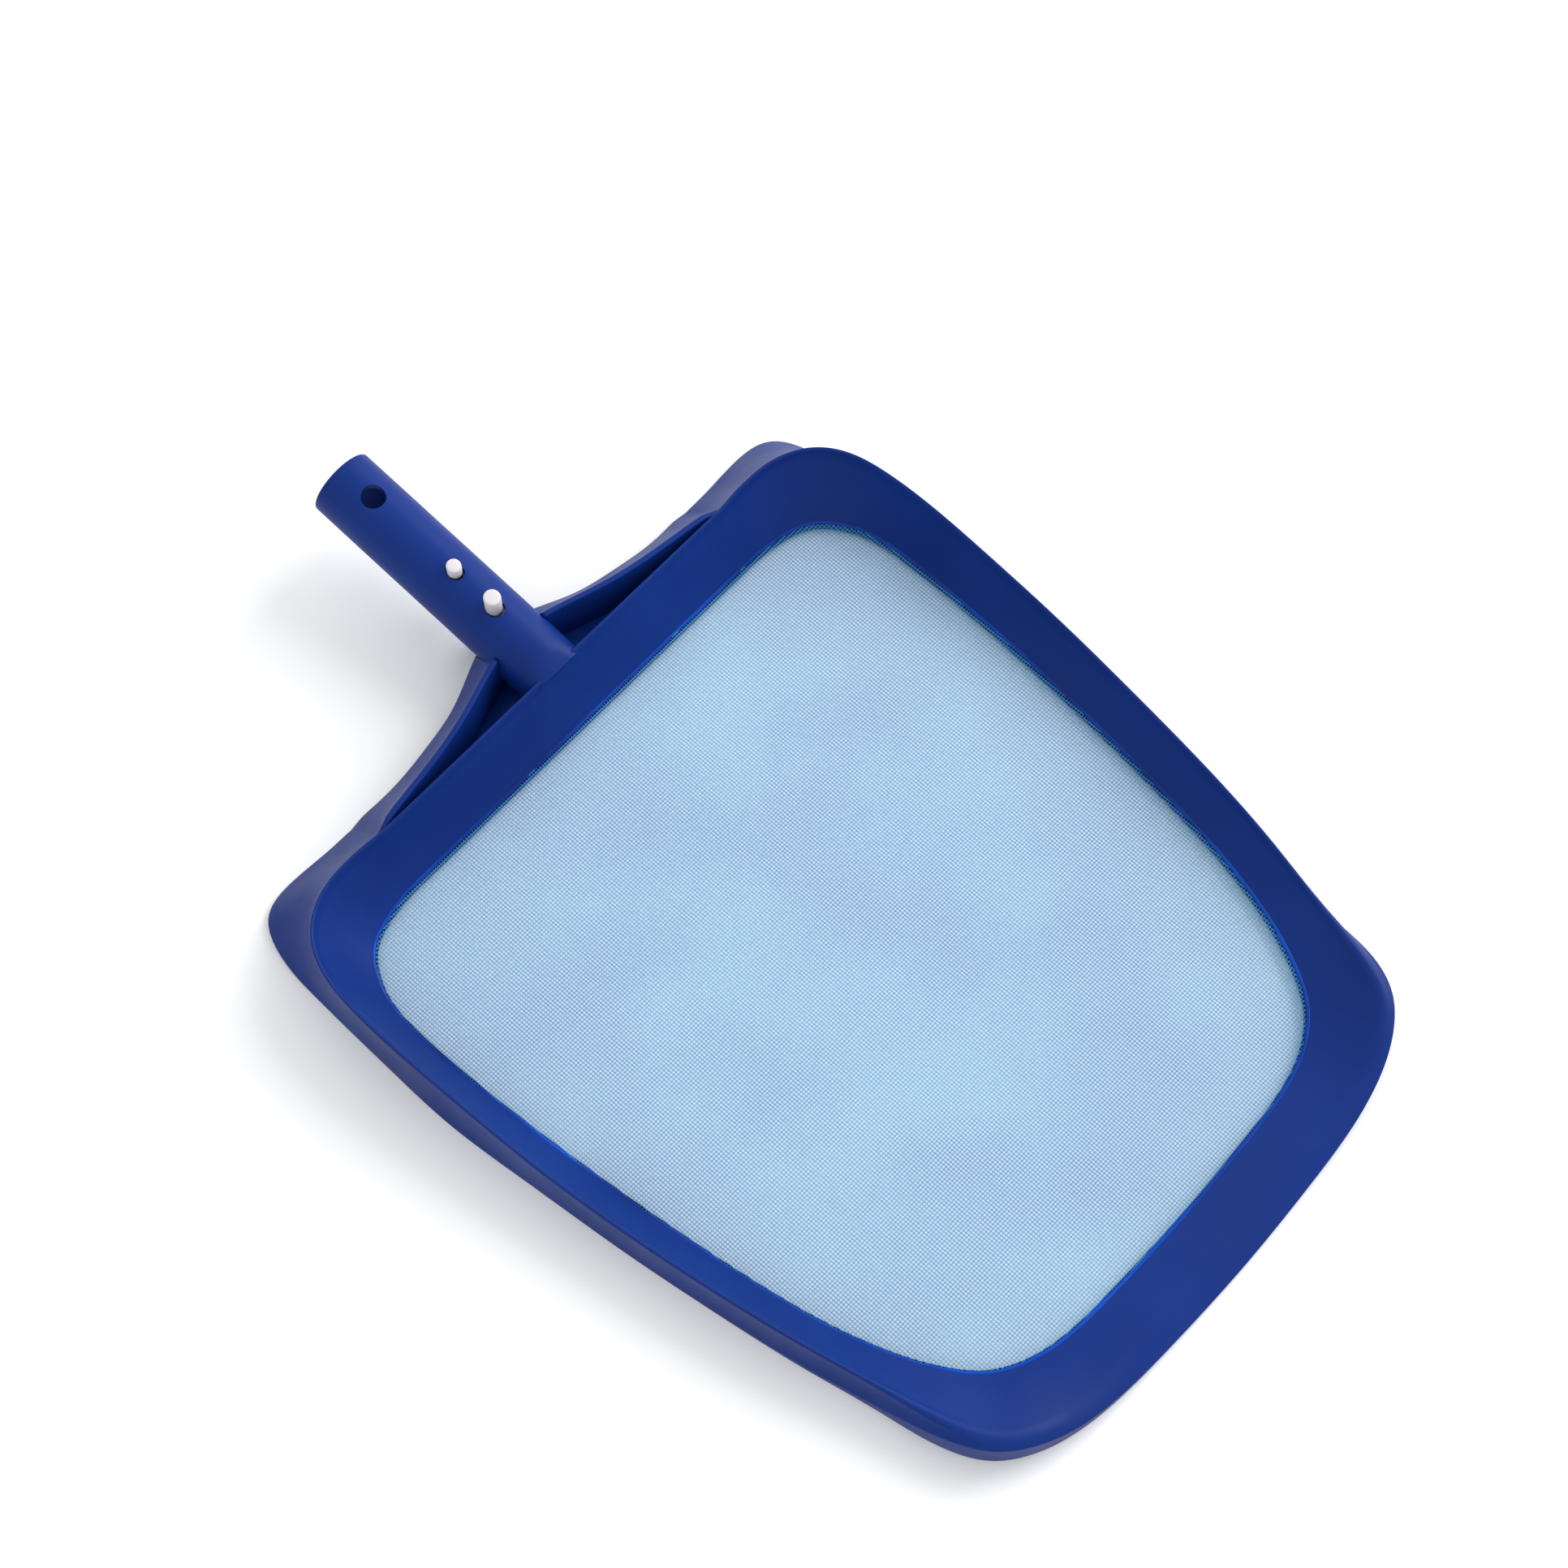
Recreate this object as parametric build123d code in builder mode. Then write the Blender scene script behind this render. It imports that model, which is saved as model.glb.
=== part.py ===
from build123d import *
from math import cos, radians, sin, tan
import os

# A leaf skimmer net for swimming pools. +X points to the scoop lip, -X to the
# handle socket, and +Z is up. The frame stands on Z = 0, and the whole net is
# symmetric about the plane Y = 0. The left side is +Y. All sizes are in millimetres.

# Overall size
overall_length = 459.7

# Net opening and the frame around it
net_length = 298
lip_width = 29
net_back = overall_length / 2 - lip_width - net_length
back_edge = 2
ledge_width = 4
ledge_bottom = 1.5
ledge_top = 4
wall_foot_height = 5
crest_half_width = 1
crest_thickness = 3.2
skirt_thickness = 2.2
back_skirt_edge = 1.2
net_thickness = 1
net_inset = 1.8
border_thickness = 0.6
border_inset = 2

# Back wall
back_half_width = 95
back_rim_out = 16
back_rim_height = 28
back_foot_out = 19

# Stations round the left half of the net opening, from the back corner to the
# middle of the lip. Each gives the point of the opening's edge (distance in front
# of the back line, half width), the outward direction in degrees from +X, then the
# rim's distance outward and its height, and last the foot's distance outward and
# the height of the skirt's outer edge over it.
side_stations = [
    (back_edge, back_half_width, 180, back_rim_out, back_rim_height, 23.5, 1.2),
    (2.6, 103.2, 162, 18.8, 28.2, 35.5, 1.5),
    (4.0, 111.3, 143, 21.8, 28.5, 46.5, 3.0),
    (7.4, 120.6, 134, 21.5, 28.6, 38.5, 3.0),
    (14.6, 128, 119, 20.2, 28.4, 26.8, 1.6),
    (25.4, 133.4, 105, 16.8, 27.6, 19.6, 1.2),
    (46, 136, 94, 14.7, 26.6, 17.2, 1.2),
    (75, 135.6, 90, 14.2, 24.6, 18.0, 1.2),
    (110, 133.4, 86.5, 14.6, 21.8, 17.2, 1.2),
    (156, 128.8, 84, 14.5, 19.6, 16.9, 1.2),
    (195, 123.4, 81, 14.2, 19.4, 16.8, 1.6),
    (230, 116.5, 75, 14.4, 18.6, 17.8, 3.0),
    (256, 108, 65, 17.0, 17.4, 21.4, 6.5),
]
lip_stations = [
    (275, 98, 52, 23.6, 17.6, 29.0, 14.0),
    (282.5, 91.8, 44, 28.0, 17.2, 32.2, 15.0),
    (288, 84.3, 35, 28.6, 14.8, 32.0, 12.8),
    (292, 75.7, 25, 26.6, 10.8, 30.8, 9.0),
    (295, 64, 16, 24.0, 7.6, 29.6, 5.8),
    (297.2, 38, 6, 20.0, 5.9, 28.9, 2.6),
    (net_length, 0, 0, 18.0, 5.4, lip_width, 1.8),
]

# Yoke: two hollow wings and their floors behind the back wall
wing_thickness = 2.2
wing_top = back_rim_height
wing_inner_draft = 2
wing_clearance = 0.3
floor_top = 9
floor_thickness = 2.5
floor_front_out = 18.7
# Each wing station: half width, the top's and the outer foot's distance behind the
# net's back edge, and the foot's height
wing_stations = [
    (8, 36, 48.5, 13),
    (14, 34.5, 46.3, 13),
    (34, 28.3, 38, 12),
    (52, 23.7, 33.8, 11),
    (69, 20.9, 31.6, 8.5),
    (84, 19.4, 32.4, 4.5),
    (back_half_width, 18.7, 33.8, 2),
]

# Handle socket: a tube that slides into the pole, open at its far end
tube_radius = 14.3
sleeve_length = 52
draft = 0.4
bore_radius = 11.9
tube_tilt = 9
joint_behind_net = 16
joint_height = 17.5
tube_end_rounding = 0.8
hanging_hole_radius = 5
hanging_hole_along = 18

# Spring clip inside the tube. Distances along the tube start at its open end.
bend_along = 29
bend_radius = 4
leg_thickness = 2
leg_width = 8
leg_gap = 0.3
leg_end_along = 88
leg_end_height = 9.8
lock_pin_along = 62
lock_pin_radius = 3.15
lock_pin_proud = 4.7
button_along = 83
button_radius = 3.65
button_proud = 8
slot_travel = 1.4
slot_shift = 0.15
pin_clearance = 0.35

# Directions and places worked out from the sizes above
up = Vector(0, 0, 1)
tube_direction = Vector(cos(radians(tube_tilt)), 0, -sin(radians(tube_tilt)))
tube_up = Vector(sin(radians(tube_tilt)), 0, cos(radians(tube_tilt)))
tube_end_x = -overall_length / 2 + tube_radius * sin(radians(tube_tilt))
tube_run = net_back - joint_behind_net - tube_end_x
tube_end = Vector(tube_end_x, 0, joint_height + tube_run * tan(radians(tube_tilt)))
tube_length = tube_run / cos(radians(tube_tilt))
leg_slope = (leg_end_height - bend_radius) / (leg_end_along - bend_along)


def tube_point(along, height):
    """Point in the tube's middle plane: distance from the open end, height over the axis."""
    return tube_end + tube_direction * along + tube_up * height


def side_plane():
    """Middle plane of the tube, with its X along the tube and its Y up."""
    return Plane(origin=tube_end, x_dir=tube_direction, z_dir=(0, -1, 0))


def across_plane(y):
    """Upright plane across the yoke at one Y, with its X along +X and its Y up."""
    return Plane(origin=(0, y, 0), x_dir=(1, 0, 0), z_dir=(0, -1, 0))


def mirrored(station):
    """The same station on the right half of the frame."""
    forward, half_width, outward = station[:3]
    return (forward, -half_width, -outward, *station[3:])


def edge_point(station, outward_by):
    """Point in plan, a distance outward from the edge of the net opening."""
    forward, half_width, outward = station[:3]
    x = net_back + forward + outward_by * cos(radians(outward))
    y = half_width + outward_by * sin(radians(outward))
    return (x, y)


def channel_section(station):
    """Section of the frame at one station: ledge, banked wall, rim and outer skirt."""
    outward, rim_out, rim_height, foot_out, edge_height = station[2:]
    out = Vector(cos(radians(outward)), sin(radians(outward)), 0)
    plane = Plane(origin=edge_point(station, 0), x_dir=out, z_dir=out.cross(up))
    with BuildSketch(plane) as section:
        with BuildLine():
            Polyline(
                (0, ledge_bottom),
                (0, ledge_top),
                (ledge_width, ledge_top),
                (ledge_width, wall_foot_height),
                (rim_out - crest_half_width, rim_height),
                (rim_out + crest_half_width, rim_height),
                (foot_out, edge_height),
                (foot_out, 0),
                (foot_out - skirt_thickness, 0),
                (rim_out, rim_height - crest_thickness),
                (ledge_width + skirt_thickness, ledge_bottom),
                close=True,
            )
        make_face()
    return section.sketch


def frame_outline(outward_by):
    """Closed plan outline, a distance outward from the edge of the net opening."""
    left_half = [edge_point(station, outward_by) for station in side_stations + lip_stations]
    right_half = [(x, -y) for x, y in reversed(left_half[:-1])]
    with BuildSketch() as outline:
        with BuildLine():
            Polyline(*left_half, *right_half, close=True)
        make_face()
    return outline.sketch


# Frame: the four sides of the scoop

back_station = (
    back_edge,
    -back_half_width,
    180,
    back_rim_out,
    back_rim_height,
    back_foot_out,
    back_skirt_edge,
)
with BuildPart() as back_rail:
    extrude(channel_section(back_station), amount=2 * back_half_width, dir=(0, 1, 0))

with BuildPart() as left_side_rail:
    loft([channel_section(station) for station in side_stations + lip_stations[:1]])

with BuildPart() as right_side_rail:
    mirror(left_side_rail.part, about=Plane.XZ)

lip_right_half = [mirrored(station) for station in reversed(lip_stations[:-1])]
with BuildPart() as scoop_lip:
    loft([channel_section(station) for station in lip_stations + lip_right_half])

# Handle socket tube: cut to the slope of the back wall, with the hanging hole
# and the slots for the clip's pins through its top and bottom


def tube_core():
    """The tube without its bore: the stretch that the pole grips, then a slimmer one."""
    with BuildPart() as core:
        for start, end, radius in (
            (0, sleeve_length, tube_radius),
            (sleeve_length, tube_length + tube_radius, tube_radius - draft),
        ):
            with BuildSketch(Plane(origin=tube_point(start, 0), z_dir=tube_direction)):
                Circle(radius)
            extrude(amount=end - start)
    return core.part


wall_top = Vector(net_back + back_edge - back_rim_out - crest_half_width, 0, back_rim_height)
wall_foot = Vector(net_back + back_edge - back_foot_out, 0, back_skirt_edge)
wall_plane = Plane(origin=wall_foot, x_dir=(0, 1, 0), z_dir=(wall_top - wall_foot).cross(Vector(0, 1, 0)))

with BuildPart() as socket_tube:
    add(tube_core())
    with BuildSketch(Plane(origin=tube_end, z_dir=tube_direction)):
        Circle(bore_radius)
    extrude(amount=tube_length + tube_radius, mode=Mode.SUBTRACT)
    rim_edges = socket_tube.edges().filter_by(GeomType.CIRCLE).sort_by(Axis.X)[:2]
    fillet(rim_edges, tube_end_rounding)
    with BuildSketch(Plane(origin=tube_end, x_dir=tube_direction, z_dir=tube_up)):
        with Locations((hanging_hole_along, 0)):
            Circle(hanging_hole_radius)
        for along, radius in ((lock_pin_along, lock_pin_radius), (button_along, button_radius)):
            with Locations((along + slot_shift, 0)):
                SlotCenterToCenter(slot_travel, 2 * (radius + pin_clearance))
    extrude(amount=tube_radius + 1, both=True, mode=Mode.SUBTRACT)
    split(bisect_by=wall_plane, keep=Keep.TOP)

# Yoke wings: thin flared walls from the tube to the back corners

floor_bottom = floor_top - floor_thickness
floor_front = net_back + back_edge - floor_front_out


def wing_inner_x(top_behind):
    """X of a wing's inner wall at its base, kept clear of the back wall."""
    inner_x = net_back - top_behind + wing_thickness + wing_inner_draft
    return min(inner_x, floor_front - wing_clearance)


def wing_section(station):
    """Section of a wing: a steep inner wall and an outer skirt that flares to its foot."""
    half_width, top_behind, foot_behind, foot_height = station
    crest_x = net_back - top_behind
    foot_x = net_back - foot_behind
    inner_x = wing_inner_x(top_behind)
    with BuildSketch(across_plane(half_width)) as section:
        with BuildLine():
            Polyline(
                (crest_x + wing_thickness, wing_top),
                (crest_x, wing_top),
                (foot_x, foot_height),
                (foot_x + wing_thickness, foot_height),
                (crest_x + wing_thickness / 2, wing_top - 2 * wing_thickness),
                (inner_x - wing_thickness, floor_bottom),
                (inner_x, floor_bottom),
                close=True,
            )
        make_face()
    return section.sketch


with BuildPart() as left_yoke_wing:
    loft([wing_section(station) for station in wing_stations], ruled=True)
    add(tube_core(), mode=Mode.SUBTRACT)

with BuildPart() as right_yoke_wing:
    mirror(left_yoke_wing.part, about=Plane.XZ)

# Yoke floors: plates between each wing and the back wall

with BuildPart() as left_yoke_floor:
    floor_edge = [(wing_inner_x(station[1]), station[0]) for station in wing_stations]
    with BuildSketch(Plane.XY.offset(floor_bottom)):
        with BuildLine():
            Polyline(
                (floor_front, floor_edge[-1][1]),
                *reversed(floor_edge),
                (floor_front, floor_edge[0][1]),
                close=True,
            )
        make_face()
    extrude(amount=floor_thickness)
    add(tube_core(), mode=Mode.SUBTRACT)

with BuildPart() as right_yoke_floor:
    mirror(left_yoke_floor.part, about=Plane.XZ)

# Net: one thin sheet that rests on the ledge, and its bonded border on top

with BuildPart() as net:
    with BuildSketch(Plane.XY.offset(ledge_top)):
        add(frame_outline(ledge_width - net_inset))
    extrude(amount=net_thickness)

with BuildPart() as net_border:
    with BuildSketch(Plane.XY.offset(ledge_top + net_thickness)):
        add(frame_outline(ledge_width - border_inset))
        add(frame_outline(0), mode=Mode.SUBTRACT)
    extrude(amount=border_thickness)

# Spring clip: a U-bend and two legs that press the pins out of the tube

with BuildPart() as clip_bridge:
    with BuildSketch(side_plane()):
        with Locations((bend_along, 0)):
            Circle(bend_radius + leg_thickness / 2)
            Circle(bend_radius - leg_thickness / 2, mode=Mode.SUBTRACT)
        with Locations((bend_along + bend_radius, 0)):
            Rectangle(2 * bend_radius, 4 * bend_radius, mode=Mode.SUBTRACT)
    extrude(amount=leg_width / 2, both=True)


def leg_height(along):
    """Height of the upper leg's middle over the tube's axis."""
    return bend_radius + leg_slope * (along - bend_along)


def leg_pin(along, radius, proud):
    """Pin that stands on the upper leg, square to the leg, with a rounded top edge."""
    base = leg_height(along) + leg_thickness / 2
    normal = (tube_up - tube_direction * leg_slope).normalized()
    height = tube_radius + proud - base
    with BuildPart() as pin:
        with BuildSketch(Plane(origin=tube_point(along, base), z_dir=normal)):
            Circle(radius)
        extrude(amount=height)
        fillet(pin.edges().filter_by(GeomType.CIRCLE).sort_by(Axis.Z)[-1], radius * 0.3)
    return pin.part


with BuildPart() as upper_clip_leg:
    half = leg_thickness / 2
    start = bend_along + leg_gap
    with BuildSketch(side_plane()):
        with BuildLine():
            Polyline(
                (start, leg_height(start) - half),
                (start, leg_height(start) + half),
                (leg_end_along, leg_end_height + half),
                (leg_end_along, leg_end_height - half),
                close=True,
            )
        make_face()
    extrude(amount=leg_width / 2, both=True)

with BuildPart() as upper_lock_pin:
    add(leg_pin(lock_pin_along, lock_pin_radius, lock_pin_proud))

with BuildPart() as upper_release_button:
    add(leg_pin(button_along, button_radius, button_proud))

tube_middle = Plane(origin=tube_end, z_dir=tube_up)
with BuildPart() as lower_clip_leg:
    mirror(upper_clip_leg.part, about=tube_middle)

with BuildPart() as lower_lock_pin:
    mirror(upper_lock_pin.part, about=tube_middle)

with BuildPart() as lower_release_button:
    mirror(upper_release_button.part, about=tube_middle)

# Label and write every piece

pieces = {
    "scoop_lip": scoop_lip,
    "left_side_rail": left_side_rail,
    "right_side_rail": right_side_rail,
    "back_rail": back_rail,
    "left_yoke_wing": left_yoke_wing,
    "right_yoke_wing": right_yoke_wing,
    "left_yoke_floor": left_yoke_floor,
    "right_yoke_floor": right_yoke_floor,
    "socket_tube": socket_tube,
    "net": net,
    "net_border": net_border,
    "clip_bridge": clip_bridge,
    "upper_clip_leg": upper_clip_leg,
    "lower_clip_leg": lower_clip_leg,
    "upper_lock_pin": upper_lock_pin,
    "lower_lock_pin": lower_lock_pin,
    "upper_release_button": upper_release_button,
    "lower_release_button": lower_release_button,
}
os.makedirs("parts", exist_ok=True)
for name, piece in pieces.items():
    piece.part.label = name
    export_step(piece.part, f"parts/{name}.step")
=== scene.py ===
"""Looks of the leaf skimmer net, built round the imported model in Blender.

+X points to the scoop lip, -X to the handle socket, +Z is up, the left side is +Y.
Sizes here are in millimetres until a mesh is made, and meshes are in metres.
"""
import bmesh
import bpy
import numpy as np
from math import cos, pi, radians, sin, sqrt
from mathutils import Matrix, Vector
from mathutils.bvhtree import BVHTree


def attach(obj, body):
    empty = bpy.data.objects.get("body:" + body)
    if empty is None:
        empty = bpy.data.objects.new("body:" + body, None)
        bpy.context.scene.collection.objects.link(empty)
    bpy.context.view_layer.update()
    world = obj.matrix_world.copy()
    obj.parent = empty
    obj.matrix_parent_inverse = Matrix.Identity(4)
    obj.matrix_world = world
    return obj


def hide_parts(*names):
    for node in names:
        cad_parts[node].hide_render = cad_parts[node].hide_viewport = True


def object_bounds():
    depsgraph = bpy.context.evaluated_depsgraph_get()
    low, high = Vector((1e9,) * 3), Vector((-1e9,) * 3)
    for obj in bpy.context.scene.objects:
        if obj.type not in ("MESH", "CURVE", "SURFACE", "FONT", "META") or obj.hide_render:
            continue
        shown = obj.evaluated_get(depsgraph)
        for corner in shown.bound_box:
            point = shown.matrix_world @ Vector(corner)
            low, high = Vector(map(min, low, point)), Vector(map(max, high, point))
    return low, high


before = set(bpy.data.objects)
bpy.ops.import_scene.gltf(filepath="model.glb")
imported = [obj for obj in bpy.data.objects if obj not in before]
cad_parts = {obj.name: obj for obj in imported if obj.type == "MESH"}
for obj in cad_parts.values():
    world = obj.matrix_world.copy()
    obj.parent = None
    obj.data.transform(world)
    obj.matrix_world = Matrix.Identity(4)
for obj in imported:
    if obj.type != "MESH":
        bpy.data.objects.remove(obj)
cad_low, cad_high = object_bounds()
metres = 0.001
random = np.random.default_rng(7)

# ---------------------------------------------------------------- sizes from the frame

overall_length = (cad_high[0] - cad_low[0]) / metres

# Scoop shell
net_length = 298
lip_width = 29
net_back = overall_length / 2 - lip_width - net_length
back_edge = 2
ledge_bottom = 1.5
ledge_top = 4
ledge_step_out = 1.3
wall_start_out = 1.5
wall_start_height = 5.1
wall_bank = 0.16
crest_thickness = 3.2
sharp_crest = 1.0
blunt_crest = 3.4
skirt_thickness = 2.2
skirt_curve = 1.5
skirt_curve_fade = 9
underside_start_out = 6.4
underside_crest_inset = 0.4
underside_crest_width = 1.2
underside_edge_height = 0.7
bead_radius = 0.85
bead_drop = 0.25
back_rim_out = 16
back_rim_height = 28

# Stations round the left half of the net opening, from the middle of the back to the
# middle of the lip: distance in front of the back line, half width, outward direction in
# degrees from +X, rim's distance outward and height, foot's distance outward and the
# height of the skirt's outer edge, and how much of a bead the rim has.
half_ring = [
    (back_edge, 0, 180, back_rim_out, back_rim_height, 19, 1.2, 1),
    (back_edge, 32, 180, back_rim_out, back_rim_height, 19, 1.2, 1),
    (back_edge, 64, 180, back_rim_out, back_rim_height, 19.4, 1.2, 1),
    (back_edge, 78, 180, back_rim_out, back_rim_height, 21, 1.2, 1),
    (back_edge, 86, 180, back_rim_out, back_rim_height, 33, 1.2, 1),
    (back_edge, 93, 178, 16.1, 28, 36.6, 1.2, 1),
    (2.2, 99, 170, 17.3, 28.1, 37.6, 1.2, 1),
    (3.0, 105.5, 155, 19.8, 28.35, 42.7, 1.6, 1),
    (4.0, 111.3, 143, 21.8, 28.5, 46.3, 2.4, 1),
    (7.4, 120.6, 134, 21.6, 28.6, 38.5, 2.6, 1),
    (14.6, 128, 119, 20.2, 28.4, 26.8, 1.6, 1),
    (25.4, 133.4, 105, 16.8, 27.6, 19.6, 1.2, 1),
    (46, 136, 94, 14.7, 26.6, 17.2, 1.2, 1),
    (75, 135.6, 90, 14.2, 24.6, 18.0, 1.2, 1),
    (110, 133.4, 86.5, 14.6, 21.8, 17.2, 1.2, 1),
    (156, 128.8, 84, 14.5, 19.6, 16.9, 1.2, 1),
    (195, 123.4, 81, 14.2, 19.4, 16.8, 1.6, 1),
    (230, 116.5, 75, 14.4, 18.6, 17.8, 3.0, 1),
    (256, 108, 65, 17.0, 17.4, 21.4, 6.5, 0.85),
    (275, 98, 52, 23.6, 17.6, 29.0, 14.0, 0.35),
    (282.5, 91.8, 44, 27.0, 17.0, 31.6, 14.6, 0.15),
    (288, 84.3, 35, 27.6, 14.8, 31.8, 12.6, 0.05),
    (292, 75.7, 25, 26.2, 10.8, 30.8, 9.0, 0),
    (295, 64, 16, 24.0, 7.6, 29.6, 5.8, 0),
    (297.2, 38, 6, 20.0, 5.9, 28.9, 2.6, 0),
    (net_length, 0, 0, 18.0, 5.4, lip_width, 1.8, 0),
]
ring_steps = 520

# Yoke
wing_thickness = 2.2
wing_top = back_rim_height
wing_inner_draft = 2
floor_top = 9
floor_thickness = 2.5
floor_front_out = 18.7
floor_overlap = 1
least_floor_depth = 1.2
# Each wing station: half width, the top's and the outer foot's distance behind the
# net's back edge, the foot's height and the top's height
wing_stations = [
    (0, 37, 51, 13, wing_top),
    (14, 34.5, 46.3, 13, wing_top),
    (34, 28.3, 38, 12, wing_top),
    (52, 23.7, 34.2, 11, wing_top),
    (69, 20.9, 33.1, 7.6, wing_top),
    (80, 19.4, 34.1, 4.2, wing_top),
    (88, 18.2, 35.3, 1.8, wing_top - 0.7),
    (94, 17.2, 35.6, 0.6, wing_top - 2.6),
    (99, 16.9, 35.2, 0.2, wing_top - 5.2),
    (105, 16.8, 33, 0.2, wing_top - 9),
]
wing_curve = 1.2
wing_foot_lip = 0.8
wing_crest_depth = 1.4
wing_into_tube = 1.2
least_wing_height = 2
least_skirt_drop = 1.5
wing_steps = 120
floor_steps = 81
# The wing's end sinks under the ear's surface between these half widths, to this depth
merge_start = 87
merge_end = 101
merge_depth = 0.35

# Handle socket tube
bore_radius = 11.9
tube_radius = 14.3
tube_end_rounding = 0.8
tube_into_wall = 1.5
tube_plug = 2
tube_top_blend = 2
bore_edge = 0.4
hole_edge_rounding = 0.35
cutter_overshoot = 3
hanging_hole_radius = 5
hanging_hole_along = 18
lock_pin_along = 62
lock_pin_radius = 3.0
lock_pin_proud = 4.7
button_along = 83
button_radius = 3.45
button_proud = 8
slot_travel = 1.2
slot_shift = 0.15
pin_clearance = 0.22
pin_lean = 0.2
pin_lean_start = 1
pin_base_depth = 3.2
pin_top_drop = 0.4
pin_edge = 0.8
pin_dome = 0.12
tube_tilt = radians(9)
tube_direction = np.array((cos(tube_tilt), 0, -sin(tube_tilt)))
tube_up = np.array((sin(tube_tilt), 0, cos(tube_tilt)))
y_direction = np.array((0.0, 1.0, 0.0))
tube_end_x = -overall_length / 2 + tube_radius * sin(tube_tilt)
joint_behind_net = 16
joint_height = 17.5
tube_run = net_back - joint_behind_net - tube_end_x
tube_end = np.array((tube_end_x, 0, joint_height + tube_run * np.tan(tube_tilt)))
tube_length = tube_run / cos(tube_tilt)

# Net
thread_pitch = 1.27
thread_width = 0.25
thread_height = 0.42
thread_point_spacing = 9
shortest_thread = 3
thread_end_spread = (-0.5, 0.7)
weave_lift = 0.07
wave_half_length = 150
wave_half_width = 132
bond_unevenness = 0.12
net_height = 4.55
net_reach = 2.2

# Materials, light and floor
plastic_ior = 1.46
plastic_specular = 0.14
# Size of the colour patches: cloudiness in the plastic, and painted shade on the net threads
cloud_and_wave_shade_scale = 14
haze_scale = 55
skin_scale = 1500
skin_strength = 0.08
skin_depth = 0.0001
key_light_place = (0.35, 1.9, 1.2)
key_light_size = 1.6
key_light_power = 48
world_strength = 0.95
floor_half = 4000
floor_drop = 0.3

# ---------------------------------------------------------------- mesh helpers


def closed_spline(knots, values, places):
    """Smooth closed curve through values at the knots; the last knot closes the loop."""
    spans = np.diff(knots)
    count = len(spans)
    before = np.roll(spans, 1)
    rows = np.arange(count)
    matrix = np.zeros((count, count))
    matrix[rows, rows] = 2 * (before + spans)
    matrix[rows, (rows - 1) % count] += before
    matrix[rows, (rows + 1) % count] += spans
    slopes = (np.roll(values, -1, 0) - values) / spans[:, None]
    bends = np.linalg.solve(matrix, 6 * (slopes - np.roll(slopes, 1, 0)))
    first = np.clip(np.searchsorted(knots, places, "right") - 1, 0, count - 1)
    second = (first + 1) % count
    span = spans[first][:, None]
    ahead = (knots[first + 1] - places)[:, None]
    behind = (places - knots[first])[:, None]
    curve = (bends[first] * ahead**3 + bends[second] * behind**3) / (6 * span)
    curve += (values[first] / span - bends[first] * span / 6) * ahead
    curve += (values[second] / span - bends[second] * span / 6) * behind
    return curve


def open_spline(knots, values, places):
    """Smooth curve through values at the knots, with no bend at its ends."""
    spans = np.diff(knots)
    count = len(knots)
    matrix = np.eye(count)
    right = np.zeros((count, values.shape[1]))
    for k in range(1, count - 1):
        matrix[k, k - 1] = spans[k - 1]
        matrix[k, k] = 2 * (spans[k - 1] + spans[k])
        matrix[k, k + 1] = spans[k]
        slope_before = (values[k] - values[k - 1]) / spans[k - 1]
        slope_after = (values[k + 1] - values[k]) / spans[k]
        right[k] = 6 * (slope_after - slope_before)
    bends = np.linalg.solve(matrix, right)
    first = np.clip(np.searchsorted(knots, places, "right") - 1, 0, count - 2)
    span = spans[first][:, None]
    ahead = (knots[first + 1] - places)[:, None]
    behind = (places - knots[first])[:, None]
    curve = (bends[first] * ahead**3 + bends[first + 1] * behind**3) / (6 * span)
    curve += (values[first] / span - bends[first] * span / 6) * ahead
    curve += (values[first + 1] / span - bends[first + 1] * span / 6) * behind
    return curve


def rounded(corners):
    """Outline of (u, z, radius) corners, each an array per station, with its corners rounded."""
    points = [np.stack([corner[0], corner[1]], -1) for corner in corners]
    outline = []
    for k, corner in enumerate(corners):
        here = points[k]
        if corner[2] == 0:
            outline.append(here)
            continue
        last = points[k - 1]
        following = points[(k + 1) % len(points)]
        to_last = (last - here) / np.linalg.norm(last - here, axis=-1, keepdims=True)
        to_next = (following - here) / np.linalg.norm(following - here, axis=-1, keepdims=True)
        start = here + corner[2] * to_last
        end = here + corner[2] * to_next
        for t in (0, 0.25, 0.5, 0.75, 1):
            outline.append((1 - t) ** 2 * start + 2 * t * (1 - t) * here + t**2 * end)
    return np.stack(outline, 1)


def grid_faces(rows, columns, close_rows, close_columns, caps):
    """Faces of a grid of points, closed round either way, with end caps if asked."""
    faces = []
    for i in range(rows if close_rows else rows - 1):
        for j in range(columns if close_columns else columns - 1):
            here = i * columns
            below = (i + 1) % rows * columns
            right = (j + 1) % columns
            faces.append((here + j, below + j, below + right, here + right))
    if caps:
        faces.append(tuple(range(columns)))
        faces.append(tuple((rows - 1) * columns + j for j in reversed(range(columns))))
    return faces


def make_piece(name, points, faces, smooth=True):
    """A mesh object from points in millimetres."""
    mesh = bpy.data.meshes.new(name)
    mesh.from_pydata((np.asarray(points).reshape(-1, 3) * metres).tolist(), [], faces)
    made = bmesh.new()
    made.from_mesh(mesh)
    bmesh.ops.recalc_face_normals(made, faces=made.faces)
    made.to_mesh(mesh)
    made.free()
    if smooth:
        mesh.polygons.foreach_set("use_smooth", [True] * len(mesh.polygons))
    piece = bpy.data.objects.new(name, mesh)
    bpy.context.scene.collection.objects.link(piece)
    return piece


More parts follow.
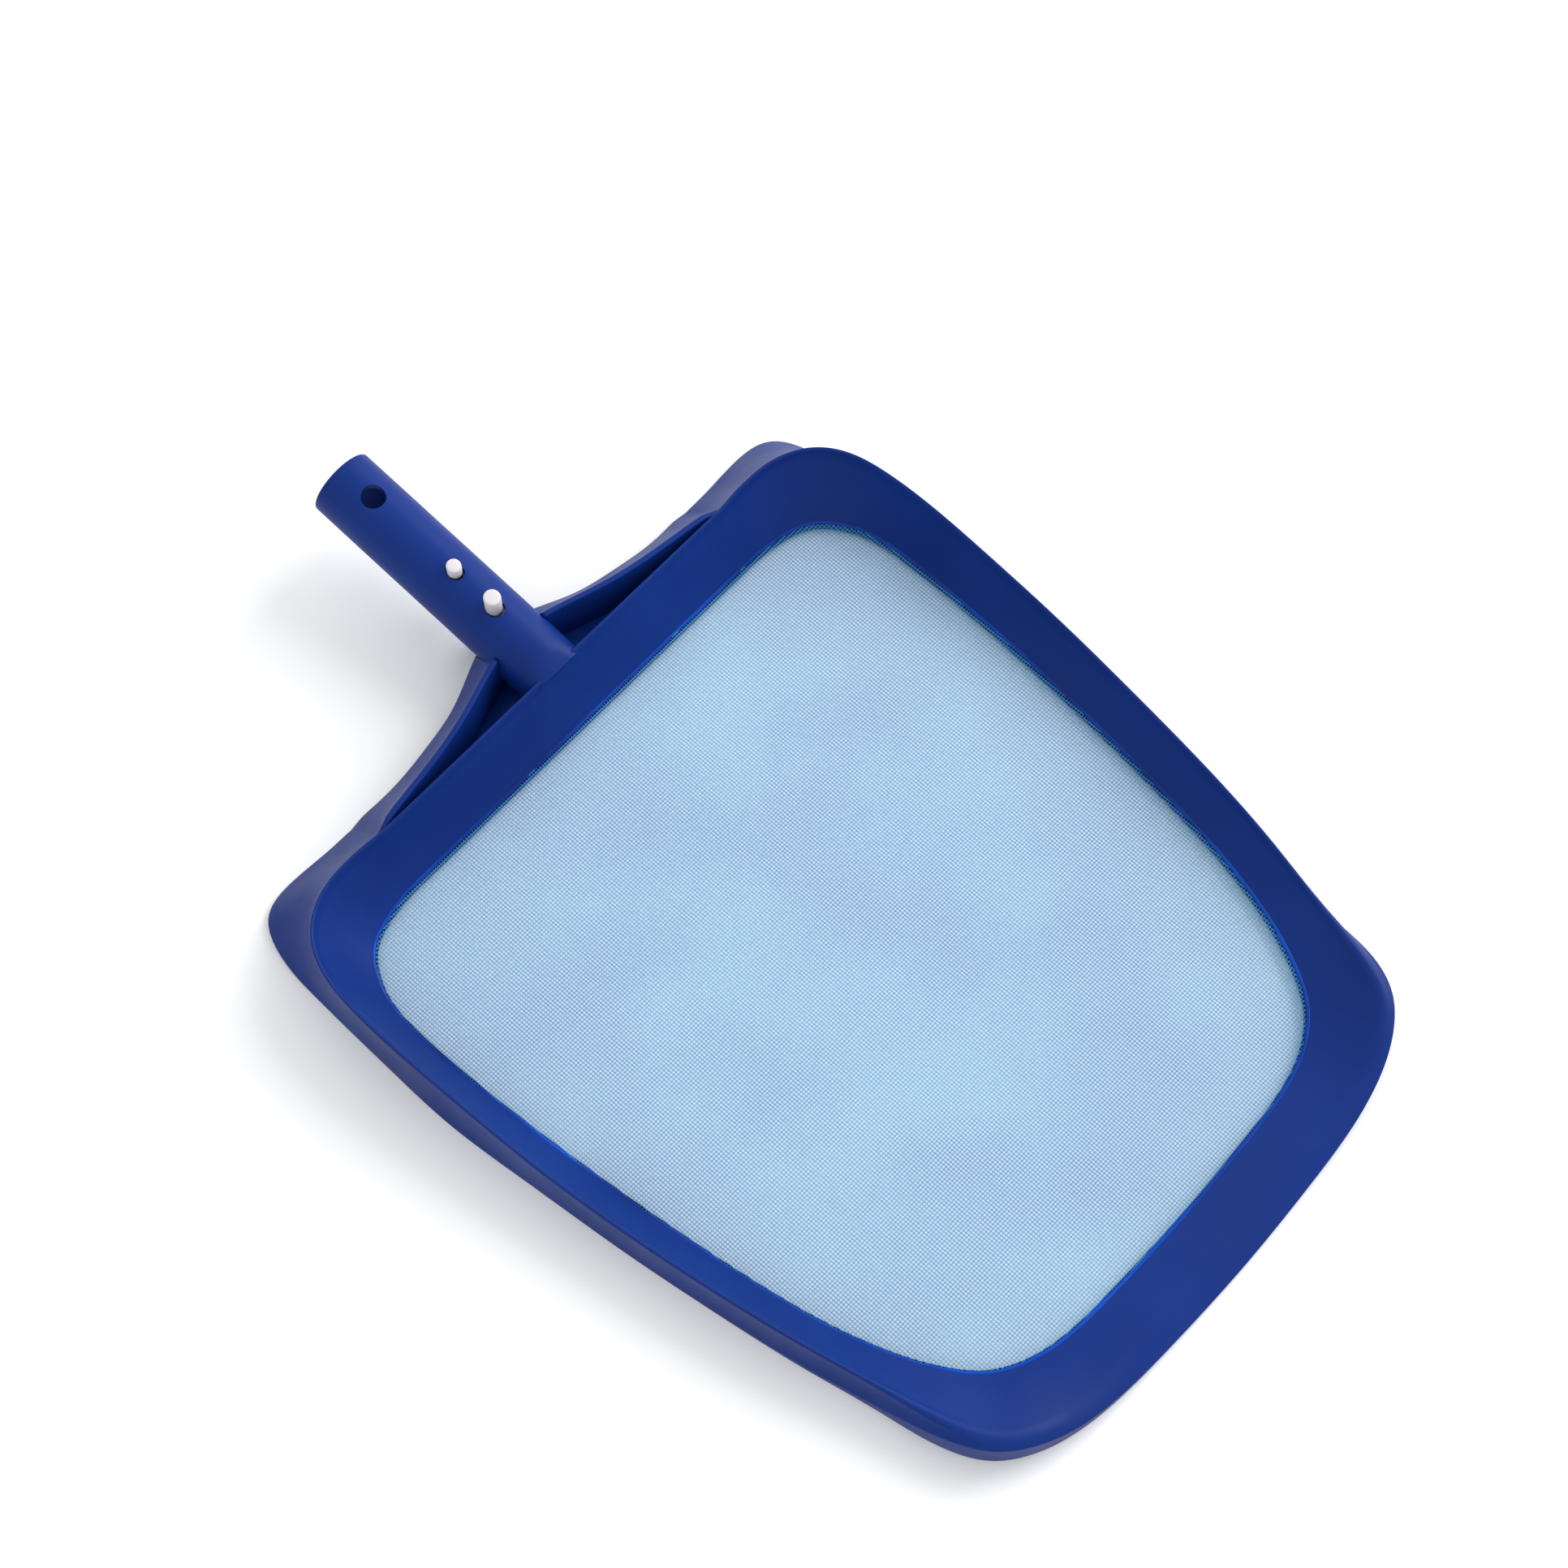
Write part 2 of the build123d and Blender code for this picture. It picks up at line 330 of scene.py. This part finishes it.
def lofted(name, grid, close_rows=False, close_columns=True, caps=True):
    """A mesh object from a grid of points, rows by columns."""
    rows, columns = grid.shape[:2]
    return make_piece(name, grid, grid_faces(rows, columns, close_rows, close_columns, caps))


def lathe(profile, steps, origin, axis, side):
    """Grid of a profile of (along, radius) turned round an axis."""
    across = np.cross(axis, side)
    angles = np.linspace(0, 2 * pi, steps, endpoint=False)
    ring = np.cos(angles)[:, None] * side + np.sin(angles)[:, None] * across
    rows = [origin + along * axis + radius * ring for along, radius in profile]
    return np.stack(rows)


def apply_modifiers(piece):
    """Replaces a piece's mesh by its modified mesh."""
    graph = bpy.context.evaluated_depsgraph_get()
    mesh = bpy.data.meshes.new_from_object(piece.evaluated_get(graph))
    piece.modifiers.clear()
    piece.data = mesh
    return piece


def cut(piece, cutters):
    """Cuts the cutters out of a piece and removes them."""
    for cutter in cutters:
        step = piece.modifiers.new("cut", "BOOLEAN")
        step.object = cutter
        step.operation = "DIFFERENCE"
        step.solver = "EXACT"
    apply_modifiers(piece)
    for cutter in cutters:
        bpy.data.objects.remove(cutter)
    return piece


def settle(piece, body, slot, material, *nodes):
    """Gives a finished piece its body, its material and the CAD nodes it stands for."""
    piece.data.materials.clear()
    piece.data.materials.append(material)
    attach(piece, body)
    if nodes:
        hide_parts(*nodes)
    return piece


# ---------------------------------------------------------------- materials


def node_material(name):
    """A new material with its node tree and its shader."""
    material = bpy.data.materials.new(name)
    material.use_nodes = True
    tree = material.node_tree
    return material, tree, tree.nodes["Principled BSDF"]


def add_noise(tree, scale, detail):
    """Noise in the object's own coordinates."""
    place = tree.nodes.new("ShaderNodeTexCoord")
    noise = tree.nodes.new("ShaderNodeTexNoise")
    noise.inputs["Scale"].default_value = scale
    noise.inputs["Detail"].default_value = detail
    tree.links.new(place.outputs["Object"], noise.inputs["Vector"])
    return noise.outputs["Fac"]


def add_range(tree, value, low, high):
    """Maps a noise value from its usual spread to low..high."""
    spread = tree.nodes.new("ShaderNodeMapRange")
    spread.inputs["From Min"].default_value = 0.35
    spread.inputs["From Max"].default_value = 0.65
    spread.inputs["To Min"].default_value = low
    spread.inputs["To Max"].default_value = high
    tree.links.new(value, spread.inputs["Value"])
    return spread.outputs["Result"]


def add_mix(tree, factor, dark, light):
    """A colour between two, chosen by a factor."""
    mix = tree.nodes.new("ShaderNodeMix")
    mix.data_type = "RGBA"
    mix.inputs["A"].default_value = (*dark, 1)
    mix.inputs["B"].default_value = (*light, 1)
    tree.links.new(factor, mix.inputs["Factor"])
    return mix.outputs["Result"]


def add_bump(tree, shader, height, strength, distance):
    """Fine relief on a shader's surface."""
    bump = tree.nodes.new("ShaderNodeBump")
    bump.inputs["Strength"].default_value = strength
    bump.inputs["Distance"].default_value = distance
    tree.links.new(height, bump.inputs["Height"])
    tree.links.new(bump.outputs["Normal"], shader.inputs["Normal"])


def linear(red, green, blue):
    """Linear colour of an sRGB colour given from 0 to 255."""
    channels = np.array((red, green, blue)) / 255
    curved = ((channels + 0.055) / 1.055) ** 2.4
    return tuple(float(c) for c in np.where(channels <= 0.04045, channels / 12.92, curved))


def moulded_plastic(name, dark, light, smooth_roughness, rough_roughness):
    """Injection-moulded plastic: a fine orange-peel skin and faint cloudiness; on the net threads the
    cloudiness is painted shade for the net's soft waves.
    """
    material, tree, shader = node_material(name)
    cloudiness_and_wave_shade = add_range(tree, add_noise(tree, cloud_and_wave_shade_scale, 4), 0, 1)
    tree.links.new(add_mix(tree, cloudiness_and_wave_shade, dark, light), shader.inputs["Base Color"])
    haze = add_range(tree, add_noise(tree, haze_scale, 5), smooth_roughness, rough_roughness)
    tree.links.new(haze, shader.inputs["Roughness"])
    add_bump(tree, shader, add_noise(tree, skin_scale, 3), skin_strength, skin_depth)
    shader.inputs["IOR"].default_value = plastic_ior
    shader.inputs["Specular IOR Level"].default_value = plastic_specular
    return material


blue_plastic = moulded_plastic("blue_plastic", linear(9, 39, 109), linear(12, 45, 119), 0.4, 0.48)
white_plastic = moulded_plastic("white_plastic", linear(200, 197, 200), linear(212, 209, 212), 0.34, 0.44)
border_plastic = moulded_plastic("border_plastic", linear(10, 36, 108), linear(10, 72, 178), 0.2, 0.3)
# The net threads' patchy mix of darker and lighter blue is painted shade, standing in for the shading of
# the net's soft waves
net_thread = moulded_plastic("net_thread", linear(62, 152, 206), linear(94, 178, 218), 0.5, 0.6)

# ---------------------------------------------------------------- scoop shell


def ring_stations():
    """All stations round the net opening, spaced evenly, from a smooth closed spline."""
    rows = []
    for forward, half_width, outward, *sizes in half_ring:
        rows.append((net_back + forward, half_width, cos(radians(outward)), sin(radians(outward)), *sizes))
    for row in reversed(rows[1:-1]):
        rows.append((row[0], -row[1], row[2], -row[3], *row[4:]))
    values = np.array(rows)
    rim = values[:, 0:2] + values[:, 2:4] * values[:, 4:5]
    spans = np.linalg.norm(np.roll(rim, -1, 0) - rim, axis=1)
    knots = np.concatenate([[0], np.cumsum(spans)])
    places = np.linspace(0, knots[-1], ring_steps, endpoint=False)
    ring = closed_spline(knots, values, places)
    ring[:, 2:4] /= np.linalg.norm(ring[:, 2:4], axis=1, keepdims=True)
    ring[:, 8] = np.clip(ring[:, 8], 0, 1)
    return ring


def inner_wall(rim_out, rim_height, bead, crest_share):
    """The banked wall up to where the crest starts, and that last point on its own."""

    def wall_point(share):
        banked = share + wall_bank * bead * (share**2 - share)
        height = wall_start_height + (rim_height - wall_start_height) * banked
        return wall_start_out + (rim_out - wall_start_out) * share, height

    points = [(*wall_point(share * crest_share), 0) for share in np.linspace(0.08, 1, 12)]
    return points, np.stack(wall_point(crest_share), -1)


def crest_arc(start, middle, end, bead):
    """The rim's crest: a curve over the middle point, with a round bead on it."""
    points = []
    for t in np.linspace(0, 1, 11)[1:-1]:
        place = (1 - t) ** 2 * start + 2 * t * (1 - t) * middle + t**2 * end
        bulge = bead * bead_radius * sqrt(1 - (2 * t - 1) ** 2)
        points.append((place[:, 0], place[:, 1] + bulge, 0))
    return points


def shell_outline(ring):
    """Outline of the shell at each station as (outward, height): ledge, banked wall, rim
    bead, concave outer wall with its foot, and the hollow underside."""
    rim_out, rim_height, foot_out, edge_height, bead = ring[:, 4:9].T
    one = np.ones(len(ring))
    crest = bead * sharp_crest + (1 - bead) * blunt_crest
    crest_share = 1 - crest / (rim_out - wall_start_out)
    slope_share = crest / np.maximum(foot_out - rim_out, crest + 0.5)
    blunt_drop = slope_share * (rim_height - edge_height)
    outer_height = rim_height - bead * bead_drop - (1 - bead) * blunt_drop

    corners = [
        (0 * one, ledge_bottom * one, 0.3),
        (0 * one, ledge_top * one, 0.45),
        (ledge_step_out * one, ledge_top * one, 0.3),
        (wall_start_out * one, wall_start_height * one, 0.35),
    ]
    wall_points, start = inner_wall(rim_out, rim_height, bead, crest_share)
    middle = np.stack([rim_out, rim_height], -1)
    end = np.stack([rim_out + crest, outer_height], -1)
    corners += wall_points
    corners += crest_arc(start, middle, end, bead)

    flare = np.maximum(foot_out - rim_out - 2, 0)
    power = 1 + skirt_curve * bead * np.exp(-flare / skirt_curve_fade)
    reach = foot_out - rim_out - crest
    for t in np.linspace(0, 1, 11)[:-1]:
        corners.append((end[:, 0] + reach * t**power, end[:, 1] + (edge_height - end[:, 1]) * t, 0))
    corners += [
        (foot_out, edge_height, 0.35),
        (foot_out, 0 * one, 0.3),
        (foot_out - skirt_thickness, 0 * one, 0.3),
    ]

    under_start = rim_out - underside_crest_inset
    under_reach = foot_out - skirt_thickness - under_start
    under_height = rim_height - crest_thickness
    for t in np.linspace(0.1, 1, 8)[::-1]:
        height = under_height * (1 - t) + underside_edge_height * t
        corners.append((under_start + under_reach * t**power, height, 0))
    corners.append((rim_out - underside_crest_width, under_height, 0))
    corners.append((underside_start_out * one, ledge_bottom * one, 0.6))
    return rounded(corners)


def place_on_ring(ring, outline):
    """Points in space of an outline of (outward, height) at each station."""
    grid = np.empty((*outline.shape[:2], 3))
    grid[..., 0] = ring[:, 0:1] + ring[:, 2:3] * outline[..., 0]
    grid[..., 1] = ring[:, 1:2] + ring[:, 3:4] * outline[..., 0]
    grid[..., 2] = outline[..., 1]
    return grid


ring = ring_stations()
shell = lofted("scoop_shell", place_on_ring(ring, shell_outline(ring)), close_rows=True, caps=False)
shell_nodes = ("scoop_lip", "left_side_rail", "right_side_rail", "back_rail")
settle(shell, "frame", "blue_plastic", blue_plastic, *shell_nodes)

# ---------------------------------------------------------------- yoke


def tube_axis_height(x):
    """Height of the tube's axis at one X."""
    return tube_end[2] - (x - tube_end[0]) * np.tan(tube_tilt)


def wing_outline(half_width, top_behind, foot_behind, foot_height, top):
    """Outline of one wing in X and Z at one distance from the middle: a steep inner wall
    and an outer skirt that flares to its foot."""
    crest = net_back - top_behind
    foot = net_back - foot_behind
    base = floor_top - floor_thickness
    inner = crest + wing_thickness + wing_inner_draft
    hug = tube_radius - wing_into_tube
    if half_width < hug:
        top = min(top, tube_axis_height(crest) - sqrt(hug**2 - half_width**2))
    top = max(top, base + least_wing_height)
    foot_height = min(foot_height, top - least_skirt_drop)
    corners = [(crest + wing_thickness, top, 0.6), (crest, top, 0.6)]
    for t in np.linspace(0.15, 0.9, 6):
        corners.append((crest + (foot - crest) * t**wing_curve, top + (foot_height - top) * t, 0))
    corners.append((foot, foot_height, 0.4))
    corners.append((foot + wing_thickness * wing_foot_lip, foot_height - 0.2, 0.4))
    corners.append((crest + wing_thickness / 2, top - wing_crest_depth, 0))
    corners.append((inner - wing_thickness * wing_foot_lip, base, 0.3))
    corners.append((inner, base, 0.3))
    arrays = [(np.array([u]), np.array([z]), radius) for u, z, radius in corners]
    return rounded(arrays)[0]


def merge_into_ear(rows, shell_tree):
    """Draws the wing's end smoothly in under the surface of the ear, the back corner's flare."""
    for row in rows:
        share = np.clip((abs(row[0, 1]) - merge_start) / (merge_end - merge_start), 0, 1)
        share = share**2 * (3 - 2 * share)
        for point in row:
            start = Vector((-overall_length, point[1], point[2])) * metres
            hit = shell_tree.ray_cast(start, Vector((1, 0, 0)))[0]
            if hit and share:
                surface = hit.x / metres + merge_depth
                point[0] += max(surface - point[0], 0) * share


def wing(name, side, shell_tree):
    """One wing, lofted through its stations and merged into the ear."""
    stations = np.array(wing_stations, float)
    places = np.linspace(0, stations[-1, 0], wing_steps)
    values = open_spline(stations[:, 0], stations[:, 1:], places)
    rows = []
    for half_width, value in zip(places, values):
        outline = wing_outline(half_width, *value)
        rows.append(np.stack([outline[:, 0], np.full(len(outline), side * half_width), outline[:, 1]], -1))
    merge_into_ear(rows, shell_tree)
    return lofted(name, np.stack(rows))


shell_tree = BVHTree.FromObject(shell, bpy.context.evaluated_depsgraph_get())
for name, side in (("left_yoke_wing_shell", 1), ("right_yoke_wing_shell", -1)):
    settle(wing(name, side, shell_tree), "frame", "blue_plastic", blue_plastic, name.replace("_shell", ""))


def yoke_floor():
    """Plate between the back wall and the wings, across the whole yoke."""
    stations = np.array(wing_stations, float)
    places = np.linspace(-stations[-2, 0], stations[-2, 0], floor_steps)
    values = open_spline(stations[:, 0], stations[:, 1:], np.abs(places))
    front = net_back + back_edge - floor_front_out + floor_overlap
    base = floor_top - floor_thickness
    rows = []
    for y, (top_behind, *_) in zip(places, values):
        wing_side = net_back - top_behind + wing_thickness + floor_overlap
        back = min(wing_side, front - least_floor_depth)
        rows.append([
            (front, y, base),
            (front, y, floor_top),
            (back, y, floor_top),
            (back, y, base),
        ])
    return lofted("yoke_floor_plate", np.array(rows))


settle(yoke_floor(), "frame", "blue_plastic", blue_plastic, "left_yoke_floor", "right_yoke_floor")

# ---------------------------------------------------------------- handle socket


def tube_point(along, height):
    """Point in the tube's middle plane: distance from the open end, height over the axis."""
    return tube_end + tube_direction * along + tube_up * height


def tube_profile(length):
    """Profile of the tube as (along, radius): its plugged bore, its end and its outside."""
    shares = np.linspace(0.96, 0.04, 30)
    outside = [(length, tube_radius)]
    outside += [(length * share, tube_radius) for share in shares]
    for angle in np.linspace(0, 90, 6):
        turn = radians(angle)
        outside.append((
            tube_end_rounding * (1 - sin(turn)),
            tube_radius - tube_end_rounding * (1 - cos(turn)),
        ))
    bore = [(length * share, bore_radius) for share in shares]
    bore += [(bore_edge, bore_radius), (0, bore_radius + bore_edge)]
    plug = length - tube_plug
    return [(plug, 0.01), (plug, bore_radius), *bore, *reversed(outside), (length, 0.01)]


def lower_under_rim(grid):
    """Rounds the tube's top down to the rim's height where it meets the back wall."""
    rim_x = net_back + back_edge - back_rim_out
    ceiling = back_rim_height + 0.1 + np.maximum(rim_x - grid[..., 0], 0)
    over = grid[..., 2] - ceiling
    eased = np.where(over > -tube_top_blend, (over + tube_top_blend) ** 2 / (4 * tube_top_blend), 0)
    grid[..., 2] -= np.where(over > tube_top_blend, over, eased)


def slot_cutter(along, radius, height):
    """A pin's slot right through the tube, longer than it is wide."""
    middle = tube_point(along + slot_shift, 0)
    profile = [(0, radius + pin_clearance), (height, radius + pin_clearance)]
    slot = lathe(profile, 64, tube_point(along + slot_shift, -height / 2), tube_up, y_direction)
    offset = (slot - middle) @ tube_direction
    slot += np.sign(offset)[..., None] * tube_direction * slot_travel / 2
    return lofted("slot_cutter", slot)


def socket_tube():
    """The tube with its hanging hole and the slots for the clip's pins."""
    profile = tube_profile(tube_length + tube_into_wall)
    grid = lathe(profile, 128, tube_end, tube_direction, y_direction)
    lower_under_rim(grid)
    height = 2 * (tube_radius + cutter_overshoot)
    hole_profile = [(0, hanging_hole_radius), (height, hanging_hole_radius)]
    hole = lathe(hole_profile, 64, tube_point(hanging_hole_along, -height / 2), tube_up, y_direction)
    cutters = [
        lofted("hole_cutter", hole),
        slot_cutter(lock_pin_along, lock_pin_radius, height),
        slot_cutter(button_along, button_radius, height),
    ]
    return cut(lofted("socket_tube_shell", grid), cutters)


tube = socket_tube()
bevel = tube.modifiers.new("edges", "BEVEL")
bevel.width = hole_edge_rounding * metres
bevel.segments = 3
bevel.limit_method = "ANGLE"
bevel.angle_limit = radians(50)
apply_modifiers(tube)
settle(tube, "frame", "blue_plastic", blue_plastic, "socket_tube")

# ---------------------------------------------------------------- spring clip


def pin_shape(name, along, radius, proud, sign):
    """A round pin that stands out of the tube, with a soft edge and a slightly domed top."""
    base = tube_radius - pin_base_depth
    top = tube_radius + proud - pin_top_drop
    profile = [(base, 0.01), (base, radius), (top - pin_edge - 2, radius)]
    for angle in np.linspace(0, 75, 7):
        turn = radians(angle)
        height = top - pin_edge * (1 - sin(turn)) - pin_dome
        profile.append((height, radius - pin_edge * (1 - cos(turn))))
    for share in (0.7, 0.45, 0.2, 0.01):
        profile.append((top - pin_dome * share**2, (radius - pin_edge) * share))
    grid = lathe(profile, 64, tube_point(along, 0), sign * tube_up, y_direction)
    rise = sign * ((grid - tube_end) @ tube_up) - tube_radius
    grid -= np.maximum(rise + pin_lean_start, 0)[..., None] * pin_lean * tube_direction
    return lofted(name, grid)


for body, sign in (("upper", 1), ("lower", -1)):
    lock = pin_shape(f"{body}_lock_pin_round", lock_pin_along, lock_pin_radius, lock_pin_proud, sign)
    settle(lock, f"{body}_leg", "white_plastic", white_plastic, f"{body}_lock_pin")
    button = pin_shape(f"{body}_button_round", button_along, button_radius, button_proud, sign)
    settle(button, f"{body}_leg", "white_plastic", white_plastic, f"{body}_release_button")

for node in ("clip_bridge", "upper_clip_leg", "lower_clip_leg"):
    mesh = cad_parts[node].data
    mesh.materials.clear()
    mesh.materials.append(white_plastic)

# ---------------------------------------------------------------- net


def net_edge(reach):
    """Plan outline of the net as points in order round the ring."""
    return ring[:, 0:2] + ring[:, 2:4] * reach


def sag(x, y):
    """Height of the net's gentle waves, calm at the ledge and free in the middle."""
    waves = 0.35 * np.sin(x / 23 + 0.8 * np.sin(y / 31)) + 0.25 * np.sin(y / 17 + x / 49 + 1.2)
    waves += 0.18 * np.sin((x - y) / 11 + 0.5)
    along = np.abs(x - net_back - wave_half_length) / wave_half_length
    across = np.abs(y) / wave_half_width
    inner = np.clip(1 - np.maximum(along, across) ** 4, 0, 1)
    return (waves - 0.5) * inner


def crossings(outline, axis, value):
    """Where the outline crosses a line of constant X (axis 0) or constant Y (axis 1)."""
    other = 1 - axis
    ahead = np.roll(outline, -1, 0)
    hits = (outline[:, axis] - value) * (ahead[:, axis] - value) < 0
    start, end = outline[hits], ahead[hits]
    share = (value - start[:, axis]) / (end[:, axis] - start[:, axis])
    found = start[:, other] + share * (end[:, other] - start[:, other])
    return found.min(), found.max()


def thread(axis, value, start, end, lift):
    """Points of one thread as a bar of diamond section that follows the net's waves."""
    count = max(3, int((end - start) / thread_point_spacing) + 1)
    along = np.linspace(start, end, count)
    wide = thread_width / 2
    tall = thread_height / 2
    rows = []
    for side, rise in ((-wide, 0), (0, tall), (wide, 0), (0, -tall)):
        fixed = np.full(count, value + side)
        x, y = (fixed, along) if axis == 0 else (along, fixed)
        height = net_height + lift + rise + sag(x, y)
        rows.append(np.stack([x, y, height], -1))
    return np.stack(rows, 1)


def net_mesh():
    """Every thread of the net, both ways, with uneven ends over the ledge."""
    outline = net_edge(net_reach)
    low, high = outline.min(0), outline.max(0)
    points = []
    faces = []
    total = 0
    for axis, lift in ((0, weave_lift), (1, -weave_lift)):
        values = np.arange(low[axis] + thread_pitch, high[axis] - 0.3, thread_pitch)
        for value in values:
            start, end = crossings(outline, axis, value)
            if end - start < shortest_thread:
                continue
            start += random.uniform(*thread_end_spread)
            end -= random.uniform(*thread_end_spread)
            grid = thread(axis, value, start, end, lift)
            made = grid_faces(grid.shape[0], 4, False, True, True)
            points.append(grid.reshape(-1, 3))
            faces += [tuple(total + corner for corner in face) for face in made]
            total += grid.shape[0] * 4
    return make_piece("net_weave", np.concatenate(points), faces, smooth=False)


net = settle(net_mesh(), "frame", "net_mesh", net_thread, "net")


def border():
    """The bonded edge: an uneven fillet of melted plastic from the wall's foot to the net."""
    turn = np.linspace(0, 2 * pi, len(ring), endpoint=False)
    uneven = 0.16 * np.sin(29 * turn) + 0.12 * np.sin(67 * turn + 1) + 0.1 * np.sin(113 * turn + 2)
    uneven += random.uniform(-bond_unevenness, bond_unevenness, len(ring))
    one = np.ones(len(ring))
    corners = [
        (2.2 * one, 4.2 * one),
        (2.0 * one, 5.3 * one),
        (1.5 + 0.3 * uneven, 5.35 * one),
        (1.0 + 0.7 * uneven, 5.15 + 0.1 * uneven),
        (0.6 + uneven, 4.85 * one),
        (0.55 + uneven, 4.5 * one),
        (1.0 * one, 4.2 * one),
    ]
    outline = np.stack([np.stack(corner, -1) for corner in corners], 1)
    return lofted("net_bond", place_on_ring(ring, outline), close_rows=True, caps=False)


settle(border(), "frame", "bonded_border", border_plastic, "net_border")

# ---------------------------------------------------------------- stage, light and camera

floor_corners = [
    (floor_half * x, floor_half * y, -floor_drop) for x, y in ((-1, -1), (1, -1), (1, 1), (-1, 1))
]
floor_mesh = make_piece("floor", floor_corners, [(0, 1, 2, 3)])
floor_material, floor_tree, floor_shader = node_material("pale_floor")
floor_tone = add_range(floor_tree, add_noise(floor_tree, 2, 2), 0, 1)
floor_colour = add_mix(floor_tree, floor_tone, linear(243, 244, 246), linear(247, 248, 249))
floor_tree.links.new(floor_colour, floor_shader.inputs["Base Color"])
floor_shader.inputs["Roughness"].default_value = 0.9
floor_mesh.data.materials.append(floor_material)


def area_light(name, place, size, power):
    """A square soft light that faces the middle of the object."""
    light = bpy.data.lights.new(name, "AREA")
    light.shape = "SQUARE"
    light.size = size
    light.energy = power
    lamp = bpy.data.objects.new(name, light)
    lamp.location = place
    lamp.rotation_euler = (-Vector(place)).to_track_quat("-Z", "Y").to_euler()
    bpy.context.scene.collection.objects.link(lamp)


area_light("key_light", key_light_place, key_light_size, key_light_power)

world = bpy.data.worlds.new("studio")
world.use_nodes = True
background = world.node_tree.nodes["Background"]
background.inputs["Color"].default_value = (1, 1, 1, 1)
background.inputs["Strength"].default_value = world_strength
bpy.context.scene.world = world
bpy.context.scene.view_settings.view_transform = "Standard"

camera_azimuth = radians(41.26)
camera_elevation = radians(65.11)
camera_roll = radians(0.81)
camera_distance = 1182.3
camera_target = np.array((-22.0, 31.8, 0.0))
camera_lens = 70.08
sensor_width = 36

toward = np.array((
    cos(camera_elevation) * sin(camera_azimuth),
    -cos(camera_elevation) * cos(camera_azimuth),
    sin(camera_elevation),
))
level = np.array((cos(camera_azimuth), sin(camera_azimuth), 0))
upward = np.cross(toward, level)
right = level * cos(camera_roll) + upward * sin(camera_roll)
above = upward * cos(camera_roll) - level * sin(camera_roll)
camera_data = bpy.data.cameras.new("camera")
camera_data.sensor_width = sensor_width
camera_data.lens = camera_lens
camera = bpy.data.objects.new("camera", camera_data)
place = (camera_target + camera_distance * toward) * metres
turn = Matrix((right, above, toward)).transposed().to_4x4()
camera.matrix_world = Matrix.Translation(Vector(place)) @ turn
bpy.context.scene.collection.objects.link(camera)
bpy.context.scene.camera = camera
